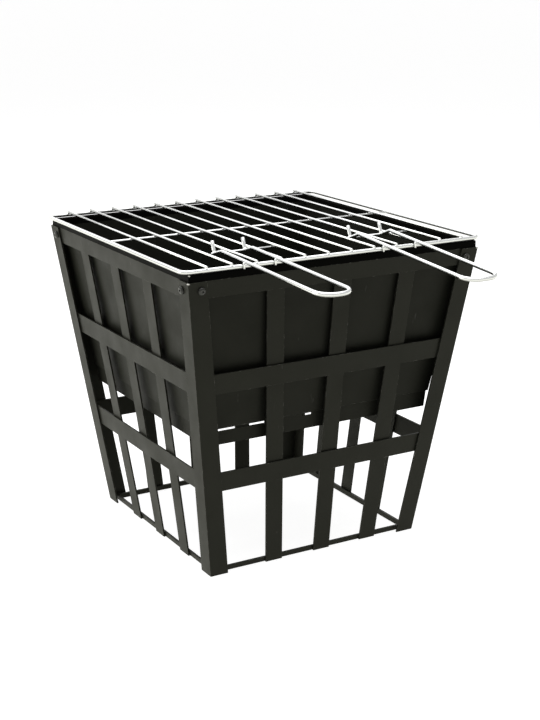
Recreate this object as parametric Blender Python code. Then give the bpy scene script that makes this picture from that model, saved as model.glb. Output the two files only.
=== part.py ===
"""Square fire basket with a lift-out coal pan and a wire cooking grate.

Tapered open frame of flat steel strip, a folded sheet pan that hangs in it by
its rim, and a wire grate with two hinged carrying handles resting on the rim.
Metres, +Z up. The front is at -Y. The origin is at ground level in the centre.
"""
import bpy
import bmesh
from math import atan, cos, pi, radians, sin, sqrt
from mathutils import Matrix, Vector

# ---------------------------------------------------------------- overall size
FRAME_HEIGHT = 0.370
FRAME_TOP_WIDTH = 0.388
FRAME_BASE_WIDTH = 0.290

# ---------------------------------------------------------------- frame strips
GAP = 0.0003                 # left between pieces that touch
POST_LEG = 0.0233            # width of each leg of a corner angle
POST_THICK = 0.002
RAIL_THICK = 0.002
SLAT_THICK = 0.002
SLAT_WIDTH = 0.0225
TOP_RAIL_WIDTH = 0.020
MID_RAIL_WIDTH = 0.0242
UPPER_RAIL_LEVEL = 0.2462     # rail centre above the ground
LOWER_RAIL_LEVEL = 0.1227
SLAT_SPREAD = 0.465          # outer slats, as a share of the half width
TOP_OFFSET = 0.0075          # slats of the front and back panels off centre at the top
BASE_OFFSET = 0.0115         # and at the ground
LEFT_TOP_OFFSET = -0.0155    # the same for the left panel, towards the back
LEFT_BASE_OFFSET = -0.0008
BASE_BAR_WIDTH = 0.0060
BASE_BAR_THICK = 0.003
BASE_BAR_LEVEL = 0.0004      # underside of the base hoop above the ground

# ---------------------------------------------------------------- frame bolts
BOLT_RADIUS = 0.0024
BOLT_HEAD_RADIUS = 0.0046
BOLT_HEAD_HEIGHT = 0.0026
NUT_RADIUS = 0.0046
NUT_HEIGHT = 0.0028
BOLT_INSET = 0.0155          # from the corner edge to the bolt axis
BOLT_SIDES = 18

# ---------------------------------------------------------------- coal pan
PAN_SHEET = 0.001
PAN_CLEARANCE = 0.0024       # between the innermost frame strip and the pan top
RIM_HEIGHT = 0.0083          # rim channel above the frame
RIM_SETBACK = 0.0018         # rim face behind the outer face of the frame
RIM_ROUND = 0.0016
FLOOR_LEVEL = 0.1876         # top of the pan's shoulder above the ground
PAN_FLOOR_CLEARANCE = 0.0073  # between the innermost frame strip and the pan floor
FLOOR_SHEET = 0.0012
SHOULDER = 0.0018            # inward step that carries the floor plate
HEM_HEIGHT = 0.0215
HEM_TAPER = 0.08
SLOT_HEIGHT = 0.0026
SLOT_DROP = 0.0012           # from the shoulder to the top of a slot
SLOT_LENGTH = 0.062
SLOT_MARGIN = 0.0125         # from the end of the hem to the nearest slot
SHORT_SLOT = 0.013
SHORT_SLOT_PLACE = 0.013     # from the middle of the wall to a short slot

# ---------------------------------------------------------------- wire grate
RING_WIRE = 0.0048
BAR_WIRE = 0.0032
CROSS_WIRE = 0.0030
RING_CORNER = 0.010
RING_OVERHANG = 0.0042       # side wires of the ring outside the frame top
RING_SETBACK = 0.0012        # front and back wires inside the rim face
BAR_COUNT = 12
BAR_MARGIN = 0.0282          # from a side wire to the first bar
BAR_END = 0.0008             # bar ends past the middle of the ring wire
WIRE_SIDES = 12

# ---------------------------------------------------------------- handles
HANDLE_WIRE = 0.0049
HOOK_WIRE = 0.0042
CLIP_WIRE = 0.0027
HANDLE_REACH = 0.1620        # from the ring wire to the far end of the loop
LOOP_CORNER = 0.018
LEG_INSIDE = 0.051           # straight leg behind the ring wire
HOOK_BACK = 0.069            # bottom of the hook behind the ring wire
TAB_BACK = 0.0745            # top of the upright tab behind the ring wire
TAB_RISE = 0.0105            # top of the tab above the bars
CLIP_OVERRUN = 0.040         # clip wire past the right leg
STOP_WIRE = 0.0030
# Each handle: number of the bar past its left leg, gap from the bar before that leg,
# gap between its right leg and the next bar, and how far it hangs below level
LEFT_HANDLE = (2, 0.0113, 0.0030, radians(2.0))
RIGHT_HANDLE = (8, 0.0085, 0.0008, radians(4.0))

# ---------------------------------------------------------------- derived sizes
TOP_HALF = FRAME_TOP_WIDTH / 2
BASE_HALF = FRAME_BASE_WIDTH / 2
TAPER = (TOP_HALF - BASE_HALF) / FRAME_HEIGHT
SLOPE = sqrt(1 + TAPER * TAPER)
LEAN = atan(TAPER)

RAIL_DEPTH = POST_THICK + GAP
SLAT_DEPTH = RAIL_DEPTH + RAIL_THICK + GAP
HOOP_DEPTH = SLAT_DEPTH + SLAT_THICK + GAP

RIM_BOTTOM = FRAME_HEIGHT + GAP
RIM_TOP = RIM_BOTTOM + RIM_HEIGHT
RIM_HALF = TOP_HALF - RIM_SETBACK

RING_Z = RIM_TOP + GAP + RING_WIRE / 2
BAR_Z = RING_Z + RING_WIRE / 2 + GAP + BAR_WIRE / 2
CROSS_Z = BAR_Z - BAR_WIRE / 2 - GAP - CROSS_WIRE / 2
RING_HALF_X = TOP_HALF + RING_OVERHANG
BAR_PITCH = 2 * (RING_HALF_X - BAR_MARGIN) / (BAR_COUNT - 1)
CLIP_Z = BAR_Z - BAR_WIRE / 2 - GAP - CLIP_WIRE / 2
LEG_OFFSET = (BAR_WIRE + HANDLE_WIRE) / 2

SIDES = ("front", "right", "back", "left")
CORNERS = ("front_left", "front_right", "back_right", "back_left")


def half_width(z):
    """Half width of the frame's outer faces at height z."""
    return BASE_HALF + TAPER * z


def face_half(z, depth):
    """Half width at height z of a surface set back by depth from the faces."""
    return half_width(z) - depth * SLOPE


PAN_TOP_HALF = face_half(FRAME_HEIGHT, SLAT_DEPTH + SLAT_THICK) - PAN_CLEARANCE
PAN_FLOOR_HALF = face_half(FLOOR_LEVEL, SLAT_DEPTH + SLAT_THICK) - PAN_FLOOR_CLEARANCE
PAN_TAPER = (PAN_TOP_HALF - PAN_FLOOR_HALF) / (FRAME_HEIGHT - FLOOR_LEVEL)
RING_HALF_Y = RIM_HALF - RING_SETBACK


def bar_x(index):
    """Position of a grate bar, counted from the left."""
    return (index - (BAR_COUNT - 1) / 2) * BAR_PITCH


# ---------------------------------------------------------------- scene helpers
def clear_scene():
    for obj in list(bpy.data.objects):
        bpy.data.objects.remove(obj, do_unlink=True)


def make_material(name, colour, roughness, metallic):
    material = bpy.data.materials.new(name)
    material.use_nodes = True
    shader = material.node_tree.nodes["Principled BSDF"]
    shader.inputs["Base Color"].default_value = (*colour, 1.0)
    shader.inputs["Roughness"].default_value = roughness
    shader.inputs["Metallic"].default_value = metallic
    return material


def add_empty(name, location, parent=None):
    empty = bpy.data.objects.new(name, None)
    bpy.context.scene.collection.objects.link(empty)
    empty.location = location
    empty.parent = parent
    return empty


def add_object(name, bm, material, location=(0, 0, 0), rotation=(0, 0, 0), parent=None):
    bmesh.ops.recalc_face_normals(bm, faces=bm.faces)
    mesh = bpy.data.meshes.new(name)
    bm.to_mesh(mesh)
    bm.free()
    obj = bpy.data.objects.new(name, mesh)
    bpy.context.scene.collection.objects.link(obj)
    obj.location = location
    obj.rotation_euler = rotation
    obj.parent = parent
    if material is not None:
        mesh.materials.append(material)
    return obj


def shade_round(obj, angle=35):
    obj.data.shade_smooth()
    obj.data.set_sharp_from_angle(angle=radians(angle))


def add_helper(name, bm):
    """A body used by Boolean modifiers only."""
    helper = add_object(name, bm, None)
    helper.hide_render = True
    helper.display_type = "WIRE"
    return helper


def add_boolean(obj, helper, operation):
    modifier = obj.modifiers.new(operation.title(), "BOOLEAN")
    modifier.operation = operation
    modifier.object = helper
    modifier.solver = "EXACT"


# ---------------------------------------------------------------- mesh helpers
def prism(bottom, top):
    """Solid between two polygons with the same number of corners."""
    bm = bmesh.new()
    low = [bm.verts.new(point) for point in bottom]
    high = [bm.verts.new(point) for point in top]
    count = len(low)
    bm.faces.new(low)
    bm.faces.new(high)
    for i in range(count):
        j = (i + 1) % count
        bm.faces.new((low[i], low[j], high[j], high[i]))
    return bm


def bridge_rings(bm, first, second):
    count = len(first)
    for i in range(count):
        j = (i + 1) % count
        bm.faces.new((first[i], first[j], second[j], second[i]))


def stack_rings(rings):
    """Closed solid through a stack of loops, capped at both ends."""
    bm = bmesh.new()
    loops = [[bm.verts.new(point) for point in ring] for ring in rings]
    for first, second in zip(loops, loops[1:]):
        bridge_rings(bm, first, second)
    bm.faces.new(loops[0])
    bm.faces.new(loops[-1])
    return bm


def fillet(points, radii, steps):
    """Rounds the inner corners of an open path."""
    path = [points[0]]
    for before, corner, after, radius in zip(points, points[1:], points[2:], radii):
        into = (corner - before).normalized()
        away = (after - corner).normalized()
        turn = into.angle(away)
        reach = radius * sin(turn / 2) / cos(turn / 2)
        start = corner - into * reach
        inward = (away - into * into.dot(away)).normalized()
        for step in range(steps + 1):
            swing = turn * step / steps
            path.append(start + into * radius * sin(swing) + inward * radius * (1 - cos(swing)))
    path.append(points[-1])
    return path


def sweep_wire(bm, path, radii, closed=False):
    """Round wire along a path, with its own radius at every point."""
    count = len(path)
    tangents = []
    for i in range(count):
        if closed:
            back, ahead = path[i - 1], path[(i + 1) % count]
        else:
            back, ahead = path[max(i - 1, 0)], path[min(i + 1, count - 1)]
        into = (path[i] - back).normalized() if (path[i] - back).length > 0 else Vector()
        away = (ahead - path[i]).normalized() if (ahead - path[i]).length > 0 else Vector()
        tangents.append((into + away).normalized())
    side = tangents[0].orthogonal().normalized()
    if closed:
        side = tangents[0].cross(Vector((0, 0, 1))).normalized()
    loops = []
    for i, point in enumerate(path):
        if i:
            side = tangents[i - 1].rotation_difference(tangents[i]) @ side
        other = tangents[i].cross(side)
        ring = []
        for step in range(WIRE_SIDES):
            turn = 2 * pi * (step + 0.5) / WIRE_SIDES
            ring.append(bm.verts.new(point + (side * cos(turn) + other * sin(turn)) * radii[i]))
        loops.append(ring)
    for first, second in zip(loops, loops[1:]):
        bridge_rings(bm, first, second)
    if closed:
        bridge_rings(bm, loops[-1], loops[0])
    else:
        bm.faces.new(loops[0])
        bm.faces.new(loops[-1])


def straight_wire(bm, start, end, diameter):
    sweep_wire(bm, [Vector(start), Vector(end)], [diameter / 2] * 2)


def offset_path(points, distance):
    """Mitred copy of an open path, moved to the left of its direction."""
    normals = []
    for (y0, z0), (y1, z1) in zip(points, points[1:]):
        length = sqrt((y1 - y0) ** 2 + (z1 - z0) ** 2)
        normals.append(((z0 - z1) / length, (y1 - y0) / length))
    moved = []
    for i, (y, z) in enumerate(points):
        before = normals[max(i - 1, 0)]
        after = normals[min(i, len(normals) - 1)]
        scale = distance / (1 + before[0] * after[0] + before[1] * after[1])
        moved.append((y + (before[0] + after[0]) * scale, z + (before[1] + after[1]) * scale))
    return moved


# ---------------------------------------------------------------- frame
def build_post(index, material, bores):
    """Corner angle, built at the front left and turned to its corner."""
    thick = POST_THICK * SLOPE

    def outline(half, z):
        x = y = -half
        return [
            (x, y, z),
            (x + POST_LEG, y, z),
            (x + POST_LEG, y + thick, z),
            (x + thick, y + thick, z),
            (x + thick, y + POST_LEG, z),
            (x, y + POST_LEG, z),
        ]

    bm = prism(outline(BASE_HALF, 0), outline(TOP_HALF, FRAME_HEIGHT))
    post = add_object("post_" + CORNERS[index], bm, material, rotation=(0, 0, index * pi / 2))
    add_boolean(post, bores, "DIFFERENCE")
    return post


def build_rail(name, index, low, high, material):
    """Flat strip along one side, mitred into the corner angles."""
    def corner(z, depth, sign):
        y = face_half(z, depth)
        return (sign * (y - GAP), -y, z)

    section = ((low, 0), (high, 0), (high, RAIL_THICK), (low, RAIL_THICK))
    left = [corner(z, RAIL_DEPTH + inset, -1) for z, inset in section]
    right = [corner(z, RAIL_DEPTH + inset, 1) for z, inset in section]
    return add_object(name, prism(left, right), material, rotation=(0, 0, index * pi / 2))


def panel_offsets(side):
    """Sideways shift of a panel's slats at the ground and at the top."""
    if side in ("front", "back"):
        return BASE_OFFSET, TOP_OFFSET
    if side == "left":
        return LEFT_BASE_OFFSET, LEFT_TOP_OFFSET
    return 0, 0


def build_slat(index, place, material):
    """Upright strip behind the rails, fanned with the taper of the frame."""
    base_shift, top_shift = panel_offsets(SIDES[index])
    top = FRAME_HEIGHT - GAP

    def outline(z):
        middle = (place - 1) * SLAT_SPREAD * half_width(z)
        middle += base_shift + (top_shift - base_shift) * z / FRAME_HEIGHT
        outer = -face_half(z, SLAT_DEPTH)
        inner = -face_half(z, SLAT_DEPTH + SLAT_THICK)
        return [
            (middle - SLAT_WIDTH / 2, outer, z),
            (middle + SLAT_WIDTH / 2, outer, z),
            (middle + SLAT_WIDTH / 2, inner, z),
            (middle - SLAT_WIDTH / 2, inner, z),
        ]

    name = f"slat_{SIDES[index]}_{place + 1}"
    return add_object(name, prism(outline(0), outline(top)), material, rotation=(0, 0, index * pi / 2))


def build_base_hoop(material):
    """Thin flat bar welded round the inside of the slats near the ground."""
    def square(z, depth):
        half = face_half(z, depth)
        return [(-half, -half, z), (half, -half, z), (half, half, z), (-half, half, z)]

    low = BASE_BAR_LEVEL
    high = BASE_BAR_LEVEL + BASE_BAR_WIDTH
    bm = bmesh.new()
    loops = []
    for z, depth in ((low, 0), (high, 0), (high, BASE_BAR_THICK), (low, BASE_BAR_THICK)):
        loops.append([bm.verts.new(point) for point in square(z, HOOP_DEPTH + depth)])
    for i in range(4):
        bridge_rings(bm, loops[i], loops[(i + 1) % 4])
    return add_object("base_hoop", bm, material)


def bolt_places():
    """Side index, hand and foot point of every bolt on the frame's faces."""
    z = FRAME_HEIGHT - TOP_RAIL_WIDTH / 2
    for index in range(4):
        for hand, sign in (("left", -1), ("right", 1)):
            point = Vector((sign * (half_width(z) - BOLT_INSET), -half_width(z), z))
            yield index, hand, Matrix.Rotation(index * pi / 2, 3, "Z") @ point


def ring_points(radius, z, hexagonal=False):
    points = []
    for step in range(BOLT_SIDES):
        turn = 2 * pi * step / BOLT_SIDES
        reach = radius
        if hexagonal:
            reach = radius * cos(pi / 6) / cos((turn % (pi / 3)) - pi / 6)
        points.append((reach * cos(turn), reach * sin(turn), z))
    return points


def build_bolt(index, hand, point, material):
    """Button-head bolt with its nut, turned so that +Z points out of the face."""
    grip = RAIL_DEPTH + RAIL_THICK
    nut_top = -grip - GAP
    rings = [
        ring_points(BOLT_HEAD_RADIUS * 0.55, GAP + BOLT_HEAD_HEIGHT),
        ring_points(BOLT_HEAD_RADIUS * 0.86, GAP + BOLT_HEAD_HEIGHT * 0.72),
        ring_points(BOLT_HEAD_RADIUS, GAP + BOLT_HEAD_HEIGHT * 0.30),
        ring_points(BOLT_HEAD_RADIUS, GAP),
        ring_points(BOLT_RADIUS, GAP),
        ring_points(BOLT_RADIUS, nut_top),
        ring_points(NUT_RADIUS, nut_top, True),
        ring_points(NUT_RADIUS, nut_top - NUT_HEIGHT, True),
        ring_points(BOLT_RADIUS, nut_top - NUT_HEIGHT),
        ring_points(BOLT_RADIUS, nut_top - NUT_HEIGHT - 0.0006),
    ]
    name = f"bolt_{SIDES[index]}_{hand}"
    rotation = (pi / 2 + LEAN, 0, index * pi / 2)
    bolt = add_object(name, stack_rings(rings), material, point, rotation)
    shade_round(bolt)
    return bolt


def build_bolt_bores():
    """Clearance holes for the eight bolts."""
    bm = bmesh.new()
    depth = 0.012
    for index, _, point in bolt_places():
        spin = Matrix.Rotation(index * pi / 2, 4, "Z") @ Matrix.Rotation(pi / 2 + LEAN, 4, "X")
        bmesh.ops.create_cone(
            bm,
            cap_ends=True,
            segments=BOLT_SIDES,
            radius1=BOLT_RADIUS + GAP,
            radius2=BOLT_RADIUS + GAP,
            depth=depth,
            matrix=Matrix.Translation(point) @ spin,
        )
    return add_helper("bolt_bores", bm)


def build_frame(steel, zinc):
    bores = build_bolt_bores()
    upper = UPPER_RAIL_LEVEL
    lower = LOWER_RAIL_LEVEL
    half_rail = MID_RAIL_WIDTH / 2
    for index, side in enumerate(SIDES):
        build_post(index, steel, bores)
        low = FRAME_HEIGHT - TOP_RAIL_WIDTH
        top_rail = build_rail("rail_top_" + side, index, low, FRAME_HEIGHT, steel)
        add_boolean(top_rail, bores, "DIFFERENCE")
        build_rail("rail_upper_" + side, index, upper - half_rail, upper + half_rail, steel)
        build_rail("rail_lower_" + side, index, lower - half_rail, lower + half_rail, steel)
        for place in range(3):
            build_slat(index, place, steel)
    build_base_hoop(steel)
    for index, hand, point in bolt_places():
        build_bolt(index, hand, point, zinc)


# ---------------------------------------------------------------- coal pan
def pan_inside_half(z):
    """Half width of the pan's inner wall surface at height z."""
    return PAN_FLOOR_HALF + PAN_TAPER * (z - FLOOR_LEVEL) - PAN_SHEET


def hem_inside_half(z):
    return pan_inside_half(FLOOR_LEVEL) - SHOULDER - HEM_TAPER * (FLOOR_LEVEL - z)


def pan_profile():
    """Half width and height along the outer and inner side of a wall sheet."""
    slot_top = FLOOR_LEVEL - SHOULDER / 2 - SLOT_DROP
    slot_bottom = slot_top - SLOT_HEIGHT
    inner_top = pan_inside_half(RIM_TOP)
    step = FLOOR_LEVEL - SHOULDER / 2
    outline = [
        (RIM_HALF, RIM_BOTTOM),
        (RIM_HALF, RIM_TOP - RIM_ROUND),
        (RIM_HALF - RIM_ROUND * 0.29, RIM_TOP - RIM_ROUND * 0.29),
        (RIM_HALF - RIM_ROUND, RIM_TOP),
        (inner_top + RIM_ROUND, RIM_TOP),
        (inner_top + RIM_ROUND * 0.25, RIM_TOP - RIM_ROUND * 0.33),
        (pan_inside_half(RIM_TOP - RIM_ROUND), RIM_TOP - RIM_ROUND),
        (pan_inside_half(FLOOR_LEVEL), FLOOR_LEVEL),
        (hem_inside_half(step), step),
        (hem_inside_half(slot_top), slot_top),
        (hem_inside_half(slot_bottom), slot_bottom),
        (hem_inside_half(FLOOR_LEVEL - HEM_HEIGHT), FLOOR_LEVEL - HEM_HEIGHT),
    ]
    slot_row = 9
    return outline, offset_path(outline, PAN_SHEET), slot_row


def build_pan_wall(index, material, parent):
    """Folded sheet: rim channel, sloping wall, shoulder and slotted hem."""
    outline, backing, slot_row = pan_profile()
    slot_end = hem_inside_half(FLOOR_LEVEL - HEM_HEIGHT) - SLOT_MARGIN
    stations = [
        -slot_end,
        -slot_end + SLOT_LENGTH,
        -SHORT_SLOT_PLACE - SHORT_SLOT,
        -SHORT_SLOT_PLACE,
        SHORT_SLOT_PLACE,
        SHORT_SLOT_PLACE + SHORT_SLOT,
    ]
    slot_columns = (1, 3, 5) if SIDES[index] in ("front", "back") else ()
    bm = bmesh.new()

    def column(points, i):
        verts = []
        for y, z in points:
            if i == 0:
                x = GAP - y
            elif i == len(stations) + 1:
                x = y - GAP
            else:
                x = stations[i - 1]
            verts.append(bm.verts.new((x, -y, z)))
        return verts

    columns = len(stations) + 2
    face = [column(outline, i) for i in range(columns)]
    back = [column(backing, i) for i in range(columns)]
    rows = len(outline)

    def solid(i, j):
        if not (0 <= i < columns - 1 and 0 <= j < rows - 1):
            return False
        return not (i in slot_columns and j == slot_row)

    for i in range(columns - 1):
        for j in range(rows - 1):
            if not solid(i, j):
                continue
            corners = ((i, j), (i + 1, j), (i + 1, j + 1), (i, j + 1))
            bm.faces.new([face[a][b] for a, b in corners])
            bm.faces.new([back[a][b] for a, b in reversed(corners)])
            edges = (
                (corners[0], corners[1], (i, j - 1)),
                (corners[1], corners[2], (i + 1, j)),
                (corners[2], corners[3], (i, j + 1)),
                (corners[3], corners[0], (i - 1, j)),
            )
            for (a, b), (c, d), neighbour in edges:
                if not solid(*neighbour):
                    bm.faces.new((face[c][d], face[a][b], back[a][b], back[c][d]))
    wall = add_object(
        "pan_wall_" + SIDES[index], bm, material, rotation=(0, 0, index * pi / 2), parent=parent
    )
    return wall


def build_pan_floor(material, parent):
    """Plate that rests on the shoulders of the four walls."""
    low = FLOOR_LEVEL + GAP
    high = low + FLOOR_SHEET

    def square(z):
        half = pan_inside_half(z) - GAP
        return [(-half, -half, z), (half, -half, z), (half, half, z), (-half, half, z)]

    return add_object("pan_floor", prism(square(low), square(high)), material, parent=parent)


def build_pan(steel):
    axis = add_empty("pan_lift", (0, 0, 0))
    for index in range(4):
        build_pan_wall(index, steel, axis)
    build_pan_floor(steel, axis)
    return axis


# ---------------------------------------------------------------- wire grate
def rounded_rectangle(half_x, half_y, radius, z, steps):
    path = []
    centres = ((1, -1, -90), (1, 1, 0), (-1, 1, 90), (-1, -1, 180))
    for sign_x, sign_y, start in centres:
        for step in range(steps + 1):
            turn = radians(start + 90 * step / steps)
            x = sign_x * (half_x - radius) + radius * cos(turn)
            y = sign_y * (half_y - radius) + radius * sin(turn)
            path.append(Vector((x, y, z)))
    return path


def build_grate_ring(material, parent):
    path = rounded_rectangle(RING_HALF_X, RING_HALF_Y, RING_CORNER, RING_Z, 6)
    bm = bmesh.new()
    sweep_wire(bm, path, [RING_WIRE / 2] * len(path), closed=True)
    ring = add_object("grate_ring", bm, material, parent=parent)
    shade_round(ring, 50)


def build_grate_bar(index, material, parent):
    end = RING_HALF_Y + BAR_END
    bm = bmesh.new()
    straight_wire(bm, (0, -end, 0), (0, end, 0), BAR_WIRE)
    name = f"grate_bar_{index + 1:02d}"
    bar = add_object(name, bm, material, (bar_x(index), 0, BAR_Z), parent=parent)
    shade_round(bar, 50)


def build_grate_cross_wire(material, parent):
    end = RING_HALF_X - RING_WIRE / 2 - GAP
    bm = bmesh.new()
    straight_wire(bm, (-end, 0, 0), (end, 0, 0), CROSS_WIRE)
    wire = add_object("grate_cross_wire", bm, material, (0, 0, CROSS_Z), parent=parent)
    shade_round(wire, 50)


# ---------------------------------------------------------------- handles
def handle_point(droop, x, y, z):
    """World offset from the ring wire, turned back into the handle's own frame."""
    return Matrix.Rotation(-droop, 3, "X") @ Vector((x, y, z - RING_Z))


def handle_path(half, droop):
    """Wire of one handle: tab, hook, leg, loop, leg, hook and tab."""
    rise = (RING_WIRE + HANDLE_WIRE) / 2 + GAP
    right = [
        handle_point(droop, half, TAB_BACK, BAR_Z + TAB_RISE),
        handle_point(droop, half, HOOK_BACK, CLIP_Z),
        Vector((half, LEG_INSIDE, rise)),
        Vector((half, -HANDLE_REACH + HANDLE_WIRE / 2, rise)),
    ]
    left = [Vector((-point.x, point.y, point.z)) for point in reversed(right)]
    corner = min(LOOP_CORNER, half * 0.9)
    radii = [0.0032, 0.0045, corner, corner, 0.0045, 0.0032]
    return fillet(right + left, radii, 5)


def build_handle(name, seat, material, parent):
    """Loop handle; its origin lies on the ring wire that it turns about."""
    bar, left_gap, right_gap, droop = seat
    left_leg = bar_x(bar - 1) + LEG_OFFSET + left_gap
    right_leg = bar_x(bar + 1) - LEG_OFFSET - right_gap
    half = (right_leg - left_leg) / 2
    path = handle_path(half, droop)
    start_thick = LEG_INSIDE - 0.004
    radii = []
    for point in path:
        thick = point.y < start_thick
        radii.append(HANDLE_WIRE / 2 if thick else HOOK_WIRE / 2)
    bm = bmesh.new()
    sweep_wire(bm, path, radii)
    location = ((left_leg + right_leg) / 2, -RING_HALF_Y, RING_Z)
    rotation = (droop, 0, 0)
    handle = add_object(name, bm, material, location, rotation, parent)
    welds = build_handle_welds(name + "_welds", half, droop)
    welds.location = location
    welds.rotation_euler = rotation
    add_boolean(handle, welds, "UNION")
    shade_round(handle, 50)
    return handle


def build_handle_welds(name, half, droop):
    """Clip wire under the bars and the two stops in front of the ring wire."""
    bm = bmesh.new()
    clip = handle_point(droop, 0, HOOK_BACK, CLIP_Z)
    ends = ((-half - HOOK_WIRE, clip.y, clip.z), (half + CLIP_OVERRUN, clip.y, clip.z))
    straight_wire(bm, ends[0], ends[1], CLIP_WIRE)
    rise = (RING_WIRE + HANDLE_WIRE) / 2 + GAP
    front = -(RING_WIRE + STOP_WIRE) / 2 - 2 * GAP
    for sign in (-1, 1):
        x = sign * half - HANDLE_WIRE * 0.5
        straight_wire(bm, (x, front, rise), (x, front, -RING_WIRE * 0.45), STOP_WIRE)
    return add_helper(name, bm)


def build_grate(chrome):
    axis = add_empty("grate_lift", (0, 0, 0))
    build_grate_ring(chrome, axis)
    build_grate_cross_wire(chrome, axis)
    for index in range(BAR_COUNT):
        build_grate_bar(index, chrome, axis)
    build_handle("handle_left", LEFT_HANDLE, chrome, axis)
    build_handle("handle_right", RIGHT_HANDLE, chrome, axis)


def main():
    clear_scene()
    frame_steel = make_material("frame_black_paint", (0.030, 0.030, 0.026), 0.55, 0.2)
    pan_steel = make_material("pan_black_paint", (0.022, 0.022, 0.020), 0.60, 0.2)
    chrome = make_material("grate_chrome", (0.80, 0.80, 0.79), 0.16, 1.0)
    zinc = make_material("bolt_zinc", (0.45, 0.45, 0.43), 0.35, 1.0)
    build_frame(frame_steel, zinc)
    build_pan(pan_steel)
    build_grate(chrome)


main()
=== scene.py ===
"""Looks of the square fire basket: painted steel strips, coal pan and chromed grate.

Row frame: metres, +Z up, front at -Y, origin on the ground in the centre.
"""

from math import atan2, cos, pi, radians, sin, sqrt

import bmesh
import bpy
from mathutils import Matrix, Vector


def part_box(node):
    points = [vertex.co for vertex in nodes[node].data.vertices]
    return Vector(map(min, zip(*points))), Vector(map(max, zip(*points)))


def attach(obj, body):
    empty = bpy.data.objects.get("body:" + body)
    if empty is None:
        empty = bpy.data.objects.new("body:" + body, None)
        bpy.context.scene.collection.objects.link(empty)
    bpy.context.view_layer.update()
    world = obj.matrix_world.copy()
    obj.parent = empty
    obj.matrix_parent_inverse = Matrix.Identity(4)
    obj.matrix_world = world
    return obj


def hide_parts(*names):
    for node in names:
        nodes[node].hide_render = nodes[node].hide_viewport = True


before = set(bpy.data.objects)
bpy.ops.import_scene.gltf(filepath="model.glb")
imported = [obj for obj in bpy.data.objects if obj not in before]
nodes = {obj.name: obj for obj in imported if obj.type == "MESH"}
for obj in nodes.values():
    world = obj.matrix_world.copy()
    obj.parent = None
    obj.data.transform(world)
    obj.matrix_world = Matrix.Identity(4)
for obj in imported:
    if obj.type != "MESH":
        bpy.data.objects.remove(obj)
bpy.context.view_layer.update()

SIDES = ("front", "right", "back", "left")
CORNERS = ("front_left", "front_right", "back_right", "back_left")

# ---------------------------------------------------------------- finishes
PAINT = (0.0225, 0.0230, 0.0182)
PAINT_DUST = (0.034, 0.0345, 0.027)
# the pan's paint and dust are darker than the frame's: painted shade for the pan standing behind the
# strips
PAN_PAINT_AND_SHADE = (0.0175, 0.0180, 0.0143)
PAN_DUST_AND_SHADE = (0.027, 0.0275, 0.0215)
# painted shade: near-black colour and weak shine for the pan's rim band, which lies in shade under the
# grate's ring
RIM_PAINTED_SHADE = (0.0045, 0.0045, 0.0040)
RIM_SHADE_SHINE = 0.012
RIM_SHADE_LEVEL = 0.3698           # just under the pan's rim; above it the pan paint is darkened as painted shade
RIM_SHADE_BLEND = 0.0004
BARE_STEEL = (0.42, 0.41, 0.39)
CHROME = (0.80, 0.81, 0.80)
CHROME_DULL = (0.64, 0.65, 0.64)
BOLT_STEEL = (0.016, 0.016, 0.014)
FLOOR_TINT = (1.0, 1.0, 0.91)
# painted shade for the downward-facing sides of the chrome wires
UNDERSIDE_SHADE = (0.22, 0.22, 0.21)

# ---------------------------------------------------------------- bevels
STRIP_BEVEL = 0.00035
SHEET_BEVEL = 0.00022

# ---------------------------------------------------------------- wires
WIRE_SIDES = 20
GAP = 0.0003                 # between pieces that only rest on each other
WELD_SINK = 0.0009          # welded bars and legs are pressed this far into the ring
RING_CORNER = 0.010
HANDLE_WIRE = 0.0049
HOOK_WIRE = 0.0042
CLIP_WIRE = 0.0027
STOP_WIRE = 0.0030
HANDLE_REACH = 0.1620
LOOP_CORNER = 0.018
LEG_INSIDE = 0.051
HOOK_BACK = 0.069
TAB_BACK = 0.0745
TAB_RISE = 0.0105
CLIP_OVERRUN = 0.040
LEFT_DROOP = radians(2.0)
RIGHT_DROOP = radians(4.0)

# ---------------------------------------------------------------- light
ROOM_LIGHT = 0.07
ROOM_GLOSS = 0.75
FLOOR_SEEN = 0.93            # glow of the floor to the camera
FLOOR_GLOSS = 1.2            # and in reflections
FLOOR_GLOW = 0.12            # and to everything else
BACKDROP = 1.05
TARGET = (0, 0, 0.25)
LIGHTS = (                   # name, place, size, power, colour
    ("overhead", (0, 0.4, 2.3), (3.0, 3.0), 58, (1.0, 1.0, 1.0)),
    ("key_left_back", (-2.2, 0.75, 0.5), (1.4, 1.5), 13, (1.0, 1.0, 0.88)),
    ("back_panel", (0.5, 2.6, 1.8), (4.0, 2.4), 24, (1.0, 1.0, 1.0)),
)

# ---------------------------------------------------------------- camera
CAMERA_AZIMUTH = radians(-30.23)
CAMERA_ELEVATION = radians(16.21)
CAMERA_ROLL = radians(0.06)
CAMERA_PLACE = Vector((-0.8566, -1.5043, 0.7122))
CAMERA_LENS = 70.81


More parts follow.
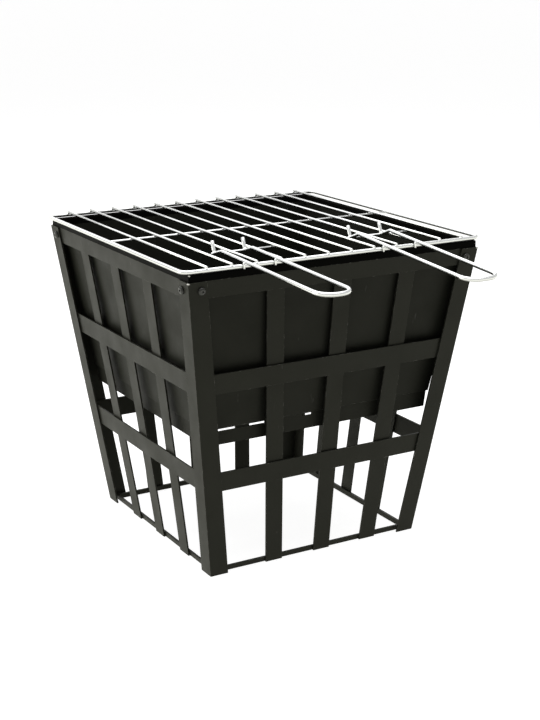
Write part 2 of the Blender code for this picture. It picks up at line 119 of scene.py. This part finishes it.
# ---------------------------------------------------------------- node helpers
class Nodes:
    """Short way to build a material's node tree."""

    def __init__(self, name):
        self.material = bpy.data.materials.new(name)
        self.material.use_nodes = True
        self.tree = self.material.node_tree
        self.shader = self.tree.nodes["Principled BSDF"]
        self.place = self.add("ShaderNodeTexCoord").outputs["Object"]

    def add(self, kind, **settings):
        node = self.tree.nodes.new(kind)
        for key, value in settings.items():
            setattr(node, key, value)
        return node

    def link(self, source, target):
        self.tree.links.new(source, target)

    def value(self, target, source):
        if isinstance(source, (int, float, tuple)):
            target.default_value = source
        else:
            self.link(source, target)

    def noise(self, scale, detail=3.0, roughness=0.55, stretch=None):
        place = self.place
        if stretch:
            mapping = self.add("ShaderNodeMapping")
            mapping.inputs["Scale"].default_value = stretch
            self.link(self.place, mapping.inputs["Vector"])
            place = mapping.outputs["Vector"]
        node = self.add("ShaderNodeTexNoise")
        node.inputs["Scale"].default_value = scale
        node.inputs["Detail"].default_value = detail
        node.inputs["Roughness"].default_value = roughness
        self.link(place, node.inputs["Vector"])
        return node.outputs["Fac"]

    def spread(self, source, low, high, to_low=0.0, to_high=1.0):
        node = self.add("ShaderNodeMapRange")
        node.inputs["From Min"].default_value = low
        node.inputs["From Max"].default_value = high
        node.inputs["To Min"].default_value = to_low
        node.inputs["To Max"].default_value = to_high
        self.link(source, node.inputs["Value"])
        return node.outputs["Result"]

    def math(self, operation, first, second=0.0):
        node = self.add("ShaderNodeMath", operation=operation, use_clamp=True)
        self.value(node.inputs[0], first)
        self.value(node.inputs[1], second)
        return node.outputs["Value"]

    def mix(self, factor, first, second):
        node = self.add("ShaderNodeMix", data_type="RGBA")
        self.value(node.inputs["Factor"], factor)
        self.value(node.inputs["A"], (*first, 1.0) if isinstance(first, tuple) else first)
        self.value(node.inputs["B"], (*second, 1.0) if isinstance(second, tuple) else second)
        return node.outputs["Result"]

    def bump(self, layers):
        """Chains height layers, given as (source, strength, distance)."""
        normal = None
        for source, strength, distance in layers:
            node = self.add("ShaderNodeBump")
            node.inputs["Strength"].default_value = strength
            node.inputs["Distance"].default_value = distance
            self.link(source, node.inputs["Height"])
            if normal:
                self.link(normal, node.inputs["Normal"])
            normal = node.outputs["Normal"]
        self.link(normal, self.shader.inputs["Normal"])

    def edge_mask(self, radius, low, high):
        """One along sharp outer edges, zero on flats."""
        bevel = self.add("ShaderNodeBevel", samples=4)
        bevel.inputs["Radius"].default_value = radius
        geometry = self.add("ShaderNodeNewGeometry")
        dot = self.add("ShaderNodeVectorMath", operation="DOT_PRODUCT")
        self.link(bevel.outputs["Normal"], dot.inputs[0])
        self.link(geometry.outputs["Normal"], dot.inputs[1])
        return self.spread(dot.outputs["Value"], high, low)


def paint_material(name, base, dust, roughness, wear, gloss, rim=None):
    """Satin stove paint on steel: fine orange peel, faint dust and rubbed edges.

    Above the height rim, if given, the paint is darkened to near black and hardly shines: painted shade
    for the rim band under the grate's ring.
    """
    n = Nodes(name)
    patches = n.spread(n.noise(9.0, 4.0), 0.35, 0.70)
    grain = n.spread(n.noise(420.0, 2.0), 0.40, 0.75)
    colour = n.mix(n.math("MULTIPLY", patches, 0.55), base, dust)
    colour = n.mix(n.math("MULTIPLY", grain, 0.16), colour, dust)
    scratches = n.spread(n.noise(160.0, 2.0, 0.6, (1.0, 1.0, 0.05)), 0.68, 0.74)
    broken = n.spread(n.noise(38.0, 3.0), 0.52, 0.62)
    scratches = n.math("MULTIPLY", scratches, broken)
    colour = n.mix(n.math("MULTIPLY", scratches, 0.12), colour, BARE_STEEL)
    chipped = n.spread(n.noise(130.0, 4.0), 0.50, 0.66)
    edges = n.math("MULTIPLY", n.edge_mask(0.0006, 0.86, 0.985), chipped)
    rubbed = n.math("MULTIPLY", edges, wear)
    colour = n.mix(rubbed, colour, BARE_STEEL)
    n.link(n.math("MULTIPLY", rubbed, 0.9), n.shader.inputs["Metallic"])
    rough = n.spread(n.noise(28.0, 4.0), 0.30, 0.70, roughness - 0.06, roughness + 0.07)
    rough = n.math("SUBTRACT", rough, n.math("MULTIPLY", rubbed, 0.12))
    if rim is not None:
        # painted shade: above the rim the colour goes near black and the shine drops, except on rubbed
        # edges
        height = n.add("ShaderNodeSeparateXYZ")
        n.link(n.place, height.inputs["Vector"])
        rim_shade = n.spread(height.outputs["Z"], rim - RIM_SHADE_BLEND, rim + RIM_SHADE_BLEND)
        rim_shade_unrubbed = n.math("MULTIPLY", rim_shade, n.math("SUBTRACT", 1.0, rubbed))
        colour = n.mix(rim_shade_unrubbed, colour, RIM_PAINTED_SHADE)
        rough = n.math("SUBTRACT", rough, n.math("MULTIPLY", rim_shade, 0.14))
        n.link(n.spread(rim_shade, 0.0, 1.0, gloss, RIM_SHADE_SHINE), n.shader.inputs["Specular IOR Level"])
    n.link(colour, n.shader.inputs["Base Color"])
    n.link(rough, n.shader.inputs["Roughness"])
    n.shader.inputs["Specular IOR Level"].default_value = gloss
    n.shader.inputs["Specular Tint"].default_value = (1.0, 1.0, 0.86, 1.0)
    n.bump(((n.noise(55.0, 2.0), 0.10, 0.0006), (n.noise(900.0, 2.0), 0.16, 0.00012)))
    return n.material


def chrome_material():
    """Bright chrome plate over drawn wire, uneven in its gloss and darkened on its underside as painted
    shade.
    """
    n = Nodes("grate_chrome_plate")
    clouds = n.spread(n.noise(45.0, 4.0), 0.30, 0.75)
    specks = n.spread(n.noise(700.0, 2.0), 0.62, 0.78)
    dull = n.math("ADD", n.math("MULTIPLY", clouds, 0.35), n.math("MULTIPLY", specks, 0.18))
    facing = n.add("ShaderNodeSeparateXYZ")
    n.link(n.add("ShaderNodeNewGeometry").outputs["Normal"], facing.inputs["Vector"])
    # painted shade: wire surfaces facing down are mixed towards grey
    under = n.math("MULTIPLY", n.spread(facing.outputs["Z"], 0.10, -0.60), 0.80)
    n.link(n.mix(under, n.mix(dull, CHROME, CHROME_DULL), UNDERSIDE_SHADE), n.shader.inputs["Base Color"])
    n.shader.inputs["Metallic"].default_value = 1.0
    n.link(n.spread(n.noise(90.0, 4.0), 0.25, 0.75, 0.17, 0.26), n.shader.inputs["Roughness"])
    n.bump(((n.noise(160.0, 3.0), 0.04, 0.0002), (n.noise(1400.0, 2.0), 0.05, 0.00006)))
    return n.material


def weld_material():
    """Bare, slightly rough weld metal."""
    n = Nodes("tack_weld")
    spots = n.spread(n.noise(260.0, 4.0), 0.35, 0.70)
    n.link(n.mix(spots, (0.62, 0.61, 0.58), (0.25, 0.24, 0.22)), n.shader.inputs["Base Color"])
    n.shader.inputs["Metallic"].default_value = 1.0
    n.link(n.spread(n.noise(300.0, 3.0), 0.3, 0.7, 0.24, 0.46), n.shader.inputs["Roughness"])
    n.bump(((n.noise(500.0, 4.0), 0.5, 0.0003),))
    return n.material


def bolt_material():
    """Dark plated bolt steel with turning marks."""
    n = Nodes("bolt_dark_steel")
    marks = n.spread(n.noise(500.0, 3.0), 0.35, 0.70)
    chipped = n.spread(n.noise(330.0, 3.0), 0.45, 0.60)
    rubbed = n.math("MULTIPLY", n.edge_mask(0.0005, 0.80, 0.98), chipped)
    colour = n.mix(marks, BOLT_STEEL, PAINT_DUST)
    n.link(n.mix(rubbed, colour, BARE_STEEL), n.shader.inputs["Base Color"])
    n.shader.inputs["Metallic"].default_value = 0.25
    n.link(n.spread(n.noise(220.0, 3.0), 0.3, 0.7, 0.22, 0.38), n.shader.inputs["Roughness"])
    n.bump(((n.noise(800.0, 3.0), 0.25, 0.00012),))
    return n.material


def floor_material():
    """Matt white studio sheet that glows, so that it stays pale under the pan and in reflections."""
    n = Nodes("studio_sheet")
    clouds = n.spread(n.noise(1.2, 3.0), 0.3, 0.7)
    n.link(n.mix(clouds, (0.42, 0.42, 0.42), (0.45, 0.45, 0.45)), n.shader.inputs["Base Color"])
    n.shader.inputs["Roughness"].default_value = 0.9
    n.shader.inputs["Specular IOR Level"].default_value = 0.1
    path = n.add("ShaderNodeLightPath")
    glow = n.mix(path.outputs["Is Camera Ray"], FLOOR_TINT, (1.0, 1.0, 1.0))
    n.link(glow, n.shader.inputs["Emission Color"])
    seen = n.spread(path.outputs["Is Camera Ray"], 0.0, 1.0, 0.0, FLOOR_SEEN - FLOOR_GLOW)
    mirrored = n.spread(path.outputs["Is Glossy Ray"], 0.0, 1.0, FLOOR_GLOW, FLOOR_GLOSS)
    strength = n.add("ShaderNodeMath", operation="ADD")
    n.link(seen, strength.inputs[0])
    n.link(mirrored, strength.inputs[1])
    n.link(strength.outputs["Value"], n.shader.inputs["Emission Strength"])
    return n.material


# ---------------------------------------------------------------- mesh helpers
def finish_piece(name, bm, material, body, smooth=40):
    bmesh.ops.recalc_face_normals(bm, faces=bm.faces)
    mesh = bpy.data.meshes.new(name)
    bm.to_mesh(mesh)
    bm.free()
    mesh.materials.append(material)
    mesh.shade_smooth()
    mesh.set_sharp_from_angle(angle=radians(smooth))
    piece = bpy.data.objects.new(name, mesh)
    bpy.context.scene.collection.objects.link(piece)
    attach(piece, body)
    return piece


def bridge(bm, first, second):
    count = len(first)
    for i in range(count):
        j = (i + 1) % count
        bm.faces.new((first[i], first[j], second[j], second[i]))


def sweep(bm, path, radii, closed=False, sides=WIRE_SIDES):
    """Round wire along a path, with its own radius at every point."""
    count = len(path)
    tangents = []
    for i in range(count):
        back = path[i - 1] if closed or i else path[0]
        ahead = path[(i + 1) % count] if closed or i < count - 1 else path[-1]
        into = (path[i] - back).normalized() if (path[i] - back).length else Vector()
        away = (ahead - path[i]).normalized() if (ahead - path[i]).length else Vector()
        tangents.append((into + away).normalized())
    side = tangents[0].cross(Vector((0.1, 0.2, 1))).normalized()
    loops = []
    for i, point in enumerate(path):
        if i:
            side = tangents[i - 1].rotation_difference(tangents[i]) @ side
        side = (side - tangents[i] * side.dot(tangents[i])).normalized()
        other = tangents[i].cross(side)
        turns = [2 * pi * step / sides for step in range(sides)]
        loops.append([bm.verts.new(point + (side * cos(t) + other * sin(t)) * radii[i]) for t in turns])
    for first, second in zip(loops, loops[1:]):
        bridge(bm, first, second)
    if closed:
        bridge(bm, loops[-1], loops[0])
    else:
        bm.faces.new(loops[0])
        bm.faces.new(loops[-1])


def cut_ends(path, radii, chamfer=0.0004):
    """Adds the small chamfer of a cropped wire end at both ends of a path."""
    first = path[0] + (path[1] - path[0]).normalized() * chamfer
    last = path[-1] + (path[-2] - path[-1]).normalized() * chamfer
    full = [path[0], first, *path[1:-1], last, path[-1]]
    wide = [radii[0] - chamfer, radii[0], *radii[1:-1], radii[-1], radii[-1] - chamfer]
    return full, wide


def wire(bm, path, radii):
    sweep(bm, *cut_ends(path, radii))


def straight(bm, start, end, diameter):
    wire(bm, [Vector(start), Vector(end)], [diameter / 2] * 2)


def blob(bm, centre, size, turn=None):
    """Small rounded lump of weld metal; size holds its three half widths."""
    matrix = Matrix.Translation(centre)
    if turn is not None:
        matrix = matrix @ turn
    matrix = matrix @ Matrix.Diagonal((*size, 1.0))
    bmesh.ops.create_icosphere(bm, subdivisions=3, radius=1.0, matrix=matrix)


def fillet(points, radii, steps):
    """Rounds the inner corners of an open path."""
    path = [points[0]]
    for before, corner, after, radius in zip(points, points[1:], points[2:], radii):
        into = (corner - before).normalized()
        away = (after - corner).normalized()
        turn = into.angle(away)
        start = corner - into * radius * sin(turn / 2) / cos(turn / 2)
        inward = (away - into * into.dot(away)).normalized()
        for step in range(steps + 1):
            swing = turn * step / steps
            path.append(start + into * radius * sin(swing) + inward * radius * (1 - cos(swing)))
    path.append(points[-1])
    return path


# ---------------------------------------------------------------- frame and pan
def dress(node, material, bevel, segments=2):
    """Gives a CAD node its finish and softens its sharp edges."""
    piece = nodes[node]
    piece.data.materials.clear()
    piece.data.materials.append(material)
    modifier = piece.modifiers.new("Bevel", "BEVEL")
    modifier.width = bevel
    modifier.segments = segments
    modifier.limit_method = "ANGLE"
    modifier.angle_limit = radians(40)
    modifier.use_clamp_overlap = True


def build_bolt(name, material):
    """Button head with a hexagon socket, and a chamfered nut behind the strips."""
    low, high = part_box(name)
    centre = (Vector(low) + Vector(high)) / 2
    side = SIDES.index(name.split("_")[1])
    outward = Matrix.Rotation(side * pi / 2, 3, "Z") @ Vector((0, -1, 0))
    lean = atan2(*frame_taper())
    outward = (outward * cos(lean) - Vector((0, 0, 1)) * sin(lean)).normalized()
    spin = outward.to_track_quat("Z", "Y").to_matrix().to_4x4()
    length = sqrt(sum(((b - a) * abs(o)) ** 2 for a, b, o in zip(low, high, outward)))
    reach = length / 2
    head, nut, shank = 0.0046, 0.0046, 0.0024
    profile = [
        (0.0017, reach - 0.0001),
        (0.0021, reach),
        (0.0030, reach - 0.0002),
        (0.0038, reach - 0.0007),
        (0.0043, reach - 0.0014),
        (head, reach - 0.0021),
        (head, reach - 0.0026),
        (shank, reach - 0.0026),
        (shank, -reach + 0.0034),
    ]
    bm = bmesh.new()
    loops = []
    sides = 36

    def ring(radius, z, hexagonal):
        points = []
        for step in range(sides):
            turn = 2 * pi * step / sides
            reach_out = radius
            if hexagonal:
                reach_out = radius * cos(pi / 6) / cos((turn % (pi / 3)) - pi / 6)
            point = Vector((reach_out * cos(turn), reach_out * sin(turn), z))
            points.append(bm.verts.new(centre + spin.to_3x3() @ point))
        return points

    loops.append(ring(0.0015, reach - 0.0012, True))
    for radius, z in profile:
        loops.append(ring(radius, z, radius < 0.0019))
    for radius, z in ((nut - 0.0004, -reach + 0.0034), (nut, -reach + 0.0030), (nut, -reach + 0.0010)):
        loops.append(ring(radius, z, True))
    loops.append(ring(nut - 0.0005, -reach + 0.0006, True))
    loops.append(ring(shank, -reach + 0.0006, False))
    loops.append(ring(shank - 0.0003, -reach, False))
    for first, second in zip(loops, loops[1:]):
        bridge(bm, first, second)
    bm.faces.new(loops[0])
    bm.faces.new(loops[-1])
    piece = finish_piece(name.replace("bolt", "button_bolt"), bm, material, "frame", 30)
    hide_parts(name)


def frame_taper():
    """Sideways run and height of the frame's slope."""
    _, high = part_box("rail_top_front")
    _, base_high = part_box("rail_lower_front")
    return high[0] - base_high[0], high[2] - base_high[2]


def build_frame(paint, bolt):
    for corner in CORNERS:
        dress("post_" + corner, paint, STRIP_BEVEL)
    for side in SIDES:
        for rail in ("top", "upper", "lower"):
            dress(f"rail_{rail}_{side}", paint, STRIP_BEVEL)
        for number in (1, 2, 3):
            dress(f"slat_{side}_{number}", paint, STRIP_BEVEL)
        for hand in ("left", "right"):
            build_bolt(f"bolt_{side}_{hand}", bolt)
    dress("base_hoop", paint, STRIP_BEVEL)


def build_pan(paint):
    for side in SIDES:
        dress("pan_wall_" + side, paint, SHEET_BEVEL)
    dress("pan_floor", paint, SHEET_BEVEL)


def build_corner_welds(weld):
    """Bright tack welds where the pan's rim and the frame's top corners are closed."""
    rim_low, rim_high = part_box("pan_wall_front")
    post_low, post_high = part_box("post_front_left")
    rim = bmesh.new()
    tops = bmesh.new()
    for index in range(4):
        turn = Matrix.Rotation(index * pi / 2, 3, "Z")
        spin = turn.to_4x4()
        corner = Vector((-rim_high[0], rim_low[1], rim_high[2]))
        for x, y, z, size in (
            (0.0010, 0.0010, -0.0012, (0.0013, 0.0013, 0.0010)),
            (0.0060, 0.0006, -0.0022, (0.0024, 0.0005, 0.0007)),
            (0.0007, 0.0042, -0.0030, (0.0005, 0.0018, 0.0007)),
        ):
            blob(rim, turn @ (corner + Vector((x, y, z))), size, spin)
        top = Vector((post_low[0], post_low[1], post_high[2]))
        blob(tops, turn @ (top + Vector((0.0011, 0.0011, -0.0008))), (0.0018, 0.0018, 0.0010), spin)
    finish_piece("pan_rim_tack_welds", rim, weld, "pan", 60)
    finish_piece("frame_corner_tack_welds", tops, weld, "frame", 60)


# ---------------------------------------------------------------- grate
def ring_path(centre, half_x, half_y, radius, steps=10):
    path = []
    for sign_x, sign_y, start in ((1, -1, -90), (1, 1, 0), (-1, 1, 90), (-1, -1, 180)):
        for step in range(steps + 1):
            turn = radians(start + 90 * step / steps)
            x = sign_x * (half_x - radius) + radius * cos(turn)
            y = sign_y * (half_y - radius) + radius * sin(turn)
            path.append(centre + Vector((x, y, 0)))
    return path


def ring_facts():
    """Centre, half widths to the wire's middle and wire radius of the grate's ring."""
    low, high = (Vector(corner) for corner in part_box("grate_ring"))
    radius = (high.z - low.z) / 2
    return (low + high) / 2, (high.x - low.x) / 2 - radius, (high.y - low.y) / 2 - radius, radius


def build_grate(chrome):
    centre, half_x, half_y, radius = ring_facts()
    bm = bmesh.new()
    path = ring_path(centre, half_x, half_y, RING_CORNER)
    sweep(bm, path, [radius] * len(path), closed=True)
    ring = finish_piece("ring_wire", bm, chrome, "grate", 60)
    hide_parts("grate_ring")
    sink = Vector((0, 0, -WELD_SINK))
    cross_low, cross_high = (Vector(corner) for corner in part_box("grate_cross_wire"))
    cross = (cross_low + cross_high) / 2
    cross_radius = (cross_high.z - cross_low.z) / 2
    bm = bmesh.new()
    start = Vector((cross_low.x - 0.0016, cross.y, cross.z)) + sink * 0.6
    end = Vector((cross_high.x + 0.0016, cross.y, cross.z)) + sink * 0.6
    straight(bm, start, end, 2 * cross_radius)
    piece = finish_piece("cross_wire", bm, chrome, "grate", 60)
    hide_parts("grate_cross_wire")
    for number in range(1, 13):
        name = f"grate_bar_{number:02d}"
        low, high = (Vector(corner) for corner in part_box(name))
        middle = (low + high) / 2 + sink
        bar_radius = (high.z - low.z) / 2
        bm = bmesh.new()
        straight(bm, (middle.x, low.y, middle.z), (middle.x, high.y, middle.z), 2 * bar_radius)
        ring_top = centre.z + radius
        for y, z in ((-half_y, ring_top), (half_y, ring_top), (cross.y, middle.z - bar_radius)):
            blob(bm, Vector((middle.x, y, z - 0.0001)), (bar_radius * 1.35, bar_radius * 1.25, 0.0010))
        piece = finish_piece(f"bar_wire_{number:02d}", bm, chrome, "grate", 60)
        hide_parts(name)


def build_handle(name, body, droop, chrome):
    """Loop handle of one wire, hooked under the bars, with its clip wire and stops."""
    centre, _, half_y, radius = ring_facts()
    low, high = (Vector(corner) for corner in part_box(name))
    left_leg = low.x + HOOK_WIRE
    right_leg = high.x - CLIP_OVERRUN
    half = (right_leg - left_leg) / 2
    pivot = Vector(((left_leg + right_leg) / 2, -half_y, centre.z))
    bar_low, bar_high = (Vector(corner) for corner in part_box("grate_bar_05"))
    bar_z = (bar_low.z + bar_high.z) / 2 - pivot.z
    clip_z = bar_low.z - GAP - CLIP_WIRE / 2 - pivot.z
    turn = Matrix.Rotation(droop, 3, "X")
    rise = radius + HANDLE_WIRE / 2 + GAP

    def at(point):
        return pivot + point

    right = [
        Vector((half, TAB_BACK, bar_z + TAB_RISE)),
        Vector((half, HOOK_BACK, clip_z)),
        turn @ Vector((half, LEG_INSIDE, rise)),
        turn @ Vector((half, -HANDLE_REACH + HANDLE_WIRE / 2, rise)),
    ]
    left = [Vector((-point.x, point.y, point.z)) for point in reversed(right)]
    corner = min(LOOP_CORNER, half * 0.9)
    path = fillet(right + left, [0.0032, 0.0045, corner, corner, 0.0045, 0.0032], 9)
    radii = [(HANDLE_WIRE if point.y < LEG_INSIDE - 0.004 else HOOK_WIRE) / 2 for point in path]
    bm = bmesh.new()
    wire(bm, [at(point) for point in path], radii)
    clip_start = Vector((-half - HOOK_WIRE, HOOK_BACK, clip_z))
    clip_end = Vector((half + CLIP_OVERRUN, HOOK_BACK, clip_z))
    straight(bm, at(clip_start), at(clip_end), CLIP_WIRE)
    front = -(2 * radius + STOP_WIRE) / 2 - 0.0004
    for sign in (-1, 1):
        x = sign * half - HANDLE_WIRE * 0.5
        stop_top = at(turn @ Vector((x, front, rise)))
        stop_foot = at(turn @ Vector((x, front, -radius * 0.9)))
        straight(bm, stop_top, stop_foot, STOP_WIRE)
        blob(bm, at(Vector((sign * half, HOOK_BACK, clip_z + 0.0006))), (0.0031, 0.0024, 0.0019))
    piece = finish_piece("loop_" + name, bm, chrome, body, 60)
    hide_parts(name)


# ---------------------------------------------------------------- studio
def area_light(name, place, size, power, colour):
    data = bpy.data.lights.new(name, "AREA")
    data.shape = "RECTANGLE"
    data.size, data.size_y = size
    data.energy = power
    data.color = colour
    light = bpy.data.objects.new(name, data)
    bpy.context.scene.collection.objects.link(light)
    light.location = place
    light.rotation_euler = (Vector(TARGET) - Vector(place)).to_track_quat("-Z", "Y").to_euler()
    light.visible_camera = False


def build_world():
    """White backdrop for the eye, a bright room for gloss and a dim one for the rest."""
    world = bpy.data.worlds.new("studio")
    bpy.context.scene.world = world
    world.use_nodes = True
    tree = world.node_tree
    path = tree.nodes.new("ShaderNodeLightPath")
    shader = tree.nodes["Background"].outputs["Background"]
    tree.nodes["Background"].inputs["Color"].default_value = (1.0, 1.0, 0.985, 1.0)
    tree.nodes["Background"].inputs["Strength"].default_value = ROOM_LIGHT
    for ray, strength in (("Is Glossy Ray", ROOM_GLOSS), ("Is Camera Ray", BACKDROP)):
        background = tree.nodes.new("ShaderNodeBackground")
        background.inputs["Color"].default_value = (1.0, 1.0, 1.0, 1.0)
        background.inputs["Strength"].default_value = strength
        mix = tree.nodes.new("ShaderNodeMixShader")
        tree.links.new(path.outputs[ray], mix.inputs["Fac"])
        tree.links.new(shader, mix.inputs[1])
        tree.links.new(background.outputs["Background"], mix.inputs[2])
        shader = mix.outputs["Shader"]
    tree.links.new(shader, tree.nodes["World Output"].inputs["Surface"])


def build_studio():
    build_world()
    bm = bmesh.new()
    bmesh.ops.create_grid(bm, x_segments=1, y_segments=1, size=30.0)
    mesh = bpy.data.meshes.new("studio_floor")
    bm.to_mesh(mesh)
    bm.free()
    mesh.materials.append(floor_material())
    floor = bpy.data.objects.new("studio_floor", mesh)
    bpy.context.scene.collection.objects.link(floor)
    for light in LIGHTS:
        area_light(*light)


def build_camera():
    azimuth, elevation = CAMERA_AZIMUTH, CAMERA_ELEVATION
    back = Vector((sin(azimuth) * cos(elevation), -cos(azimuth) * cos(elevation), sin(elevation)))
    right = Vector((cos(azimuth), sin(azimuth), 0))
    up = back.cross(right)
    axes = Matrix((right, up, back)).transposed()
    data = bpy.data.cameras.new("camera")
    data.lens = CAMERA_LENS
    data.clip_start = 0.02
    camera = bpy.data.objects.new("camera", data)
    bpy.context.scene.collection.objects.link(camera)
    turn = axes.to_4x4() @ Matrix.Rotation(CAMERA_ROLL, 4, "Z")
    camera.matrix_world = Matrix.Translation(CAMERA_PLACE) @ turn
    bpy.context.scene.camera = camera


def main():
    frame_paint = paint_material("frame_satin_black", PAINT, PAINT_DUST, 0.46, 0.55, 0.12)
    pan_paint = paint_material("pan_satin_black", PAN_PAINT_AND_SHADE, PAN_DUST_AND_SHADE, 0.50, 0.40, 0.10, RIM_SHADE_LEVEL)
    chrome = chrome_material()
    weld = weld_material()
    build_frame(frame_paint, bolt_material())
    build_pan(pan_paint)
    build_corner_welds(weld)
    build_grate(chrome)
    build_handle("handle_left", "handle_left_body", LEFT_DROOP, chrome)
    build_handle("handle_right", "handle_right_body", RIGHT_DROOP, chrome)
    build_studio()
    build_camera()
    bpy.context.scene.view_settings.view_transform = "Standard"


main()
